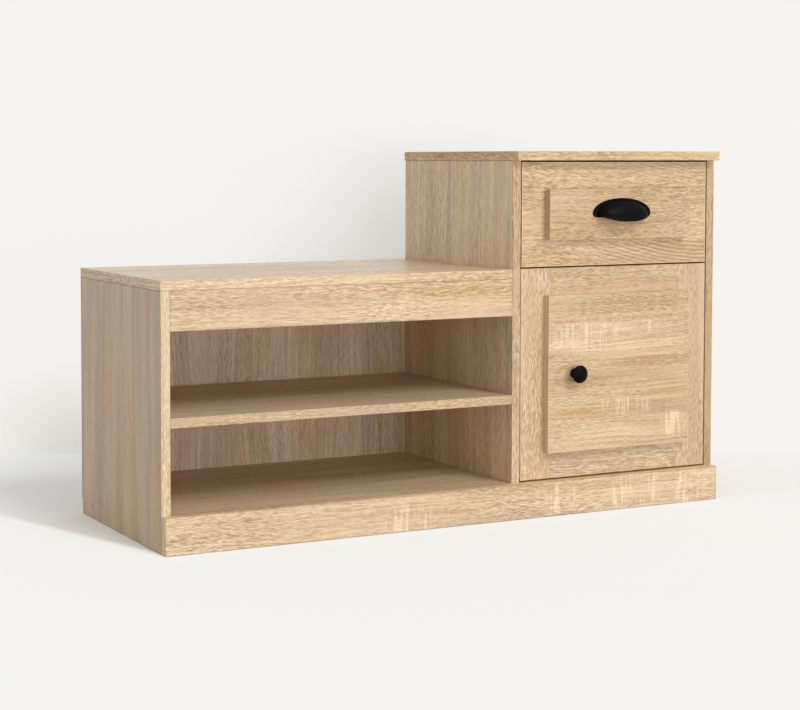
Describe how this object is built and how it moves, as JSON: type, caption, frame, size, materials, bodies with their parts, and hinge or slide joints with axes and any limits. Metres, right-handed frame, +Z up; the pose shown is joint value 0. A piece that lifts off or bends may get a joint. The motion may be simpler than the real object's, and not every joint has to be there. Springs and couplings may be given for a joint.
{
  "type": "entryway bench",
  "caption": "Low open bench with a shelf, joined to a taller cabinet with an inset drawer on roller runners over an inset hinged door.",
  "frame": {"origin": "on the floor, in the middle of the whole unit's bounding box", "axes": "+X along the front to the cabinet end, +Y from the front to the back, +Z up"},
  "size_m": [1.02, 0.398, 0.6],
  "materials": {
    "side_wood": "satin wood-grain laminate",
    "divider_wood": "satin wood-grain laminate",
    "right_side_wood": "satin wood-grain laminate",
    "bench_top_wood": "satin wood-grain laminate",
    "apron_wood": "satin wood-grain laminate",
    "shelf_wood": "satin wood-grain laminate",
    "bottom_wood": "satin wood-grain laminate",
    "cabinet_top_wood": "satin wood-grain laminate",
    "plinth_wood": "satin wood-grain laminate",
    "inner_wood": "satin wood-grain laminate",
    "back_wood": "satin wood-grain laminate",
    "cabinet_back_wood": "satin wood-grain laminate",
    "dowel_wood": "satin wood-grain laminate",
    "drawer_front_wood": "satin wood-grain laminate",
    "drawer_panel_wood": "satin wood-grain laminate",
    "drawer_box_wood": "satin wood-grain laminate",
    "drawer_bottom_wood": "satin wood-grain laminate",
    "door_stile_wood": "satin wood-grain laminate",
    "door_rail_wood": "satin wood-grain laminate",
    "door_panel_wood": "satin wood-grain laminate",
    "handle_black": "satin powder coat",
    "runner_white": "satin powder coat",
    "roller_plastic": "matt",
    "catch_plastic": "matt",
    "hardware_steel": "zinc plated",
    "hinge_steel": "nickel plated"
  },
  "bodies": {
    "carcass": {"left_side_panel": "side_wood", "divider_panel": "divider_wood", "right_side_panel": "right_side_wood", "bench_top": "bench_top_wood", "bench_apron": "apron_wood", "bench_rear_rail": "inner_wood", "middle_shelf": "shelf_wood", "bench_bottom_panel": "bottom_wood", "cabinet_top": "cabinet_top_wood", "cabinet_partition": "inner_wood", "cabinet_bottom_panel": "inner_wood", "plinth_board": "plinth_wood", "bench_rear_plinth": "inner_wood", "cabinet_rear_plinth": "inner_wood", "bench_back_panel": "back_wood", "cabinet_back_panel": "cabinet_back_wood", "dowels": "dowel_wood", "cam_bolts": "hardware_steel", "cam_discs": "hardware_steel", "shelf_pins": "hardware_steel", "back_nails": "hardware_steel", "cabinet_rail_left": "runner_white", "cabinet_rail_right": "runner_white", "hinge_plates": "hinge_steel", "hinge_arms": "hinge_steel", "hinge_arm_screws": "hardware_steel", "catch_housing": "catch_plastic", "carcass_hardware_screws": "hardware_steel"},
    "drawer": {"drawer_front": "drawer_front_wood", "drawer_raised_panel": "drawer_panel_wood", "drawer_left_side": "drawer_box_wood", "drawer_right_side": "drawer_box_wood", "drawer_back": "drawer_box_wood", "drawer_bottom": "drawer_bottom_wood", "drawer_dowels": "dowel_wood", "drawer_panel_screws": "hardware_steel", "cup_pull": "handle_black", "cup_pull_screws": "hardware_steel", "drawer_rail_left": "runner_white", "drawer_rail_right": "runner_white", "drawer_rail_screws": "hardware_steel"},
    "door": {"door_hinge_stile": "door_stile_wood", "door_free_stile": "door_stile_wood", "door_top_rail": "door_rail_wood", "door_bottom_rail": "door_rail_wood", "door_frame_dowels": "dowel_wood", "door_raised_panel": "door_panel_wood", "door_panel_screws": "hardware_steel", "door_knob": "handle_black", "knob_screw": "hardware_steel", "hinge_cups": "hinge_steel", "hinge_pins": "hardware_steel", "door_hardware_screws": "hardware_steel", "catch_striker": "hardware_steel"},
    "cabinet_roller_left": {"cabinet_roller_left": "roller_plastic"},
    "cabinet_roller_right": {"cabinet_roller_right": "roller_plastic"},
    "drawer_roller_left": {"drawer_roller_left": "roller_plastic"},
    "drawer_roller_right": {"drawer_roller_right": "roller_plastic"}
  },
  "joints": [
    {"name": "drawer_slide", "type": "slide", "parent": "carcass", "child": "drawer", "axis": [0, -1, 0], "range_m": [0, 0.23]},
    {"name": "door_swing", "type": "hinge", "parent": "carcass", "child": "door", "pos_m": [0.4795, -0.15365, 0.2345], "axis": [0, 0, 1], "range_deg": [0, 100]},
    {"name": "cabinet_roller_left_spin", "type": "hinge", "parent": "carcass", "child": "cabinet_roller_left", "pos_m": [0.1225, -0.133, 0.4262], "axis": [1, 0, 0], "range_deg": [0, 1885]},
    {"name": "cabinet_roller_right_spin", "type": "hinge", "parent": "carcass", "child": "cabinet_roller_right", "pos_m": [0.4895, -0.133, 0.4262], "axis": [1, 0, 0], "range_deg": [0, 1885]},
    {"name": "drawer_roller_left_spin", "type": "hinge", "parent": "drawer", "child": "drawer_roller_left", "pos_m": [0.1225, 0.1429, 0.4271], "axis": [1, 0, 0], "range_deg": [0, 1451]},
    {"name": "drawer_roller_right_spin", "type": "hinge", "parent": "drawer", "child": "drawer_roller_right", "pos_m": [0.4895, 0.1429, 0.4271], "axis": [1, 0, 0], "range_deg": [0, 1451]}
  ],
  "couplings": [
    {"joint": "cabinet_roller_left_spin", "follows": "drawer_slide", "rad_per_m": 142.86},
    {"joint": "cabinet_roller_right_spin", "follows": "drawer_slide", "rad_per_m": 142.86},
    {"joint": "drawer_roller_left_spin", "follows": "drawer_slide", "rad_per_m": 109.89},
    {"joint": "drawer_roller_right_spin", "follows": "drawer_slide", "rad_per_m": 109.89}
  ]
}
